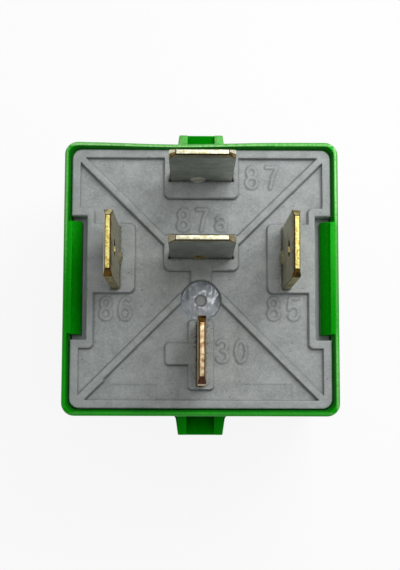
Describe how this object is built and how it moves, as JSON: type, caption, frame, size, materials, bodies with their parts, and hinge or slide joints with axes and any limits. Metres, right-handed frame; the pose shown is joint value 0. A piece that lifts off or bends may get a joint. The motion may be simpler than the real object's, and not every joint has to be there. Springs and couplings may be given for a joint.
{
  "type": "automotive relay",
  "caption": "Plug-in changeover relay for a vehicle: square cover, ribbed base with flat blade terminals, and a coil that swings a sprung armature between contacts.",
  "frame": {"origin": "middle of the cover's closed end face, on which the relay stands", "axes": "+Z along the blades, away from the closed end; +Y towards blade 87; +X towards blade 85"},
  "size_m": [0.028, 0.032, 0.0364],
  "materials": {
    "green_plastic": "moulded nylon, satin gloss",
    "grey_plastic": "moulded filled polyester, matt",
    "copper_blade": "tin-plated copper, sheared edges bare",
    "plated_brass": "tin-plated brass, sheared edges bare",
    "zinc_plated_iron": "zinc-plated soft iron",
    "bobbin_nylon": "moulded natural nylon",
    "enamelled_copper": "enamelled copper wire",
    "solder": "bright solder",
    "spring_bronze": "rolled spring bronze",
    "contact_silver": "silver alloy",
    "rivet_steel": "plated steel"
  },
  "bodies": {
    "relay_body": {"cover": "green_plastic", "base": "grey_plastic", "terminal_30": "copper_blade", "terminal_85": "plated_brass", "terminal_86": "plated_brass", "terminal_87": "plated_brass", "terminal_87a": "plated_brass", "yoke": "zinc_plated_iron", "core": "zinc_plated_iron", "bobbin": "bobbin_nylon", "coil_winding": "enamelled_copper", "coil_lead_85": "enamelled_copper", "coil_lead_86": "enamelled_copper", "solder_85": "solder", "solder_86": "solder", "no_contact": "contact_silver", "nc_contact": "contact_silver", "yoke_rivets": "rivet_steel", "terminal_rivet": "rivet_steel"},
    "armature": {"armature": "zinc_plated_iron", "contact_spring": "spring_bronze", "moving_contact": "contact_silver", "armature_rivets": "rivet_steel"}
  },
  "joints": [
    {"name": "armature_hinge", "type": "hinge", "parent": "relay_body", "child": "armature", "pos_m": [0, -0.0112, 0.00657], "axis": [1, 0, 0], "range_deg": [0, 2.2], "stiffness_Nm_per_rad": 0.01, "springref_deg": -17.19, "deforming": ["contact_spring"]}
  ]
}
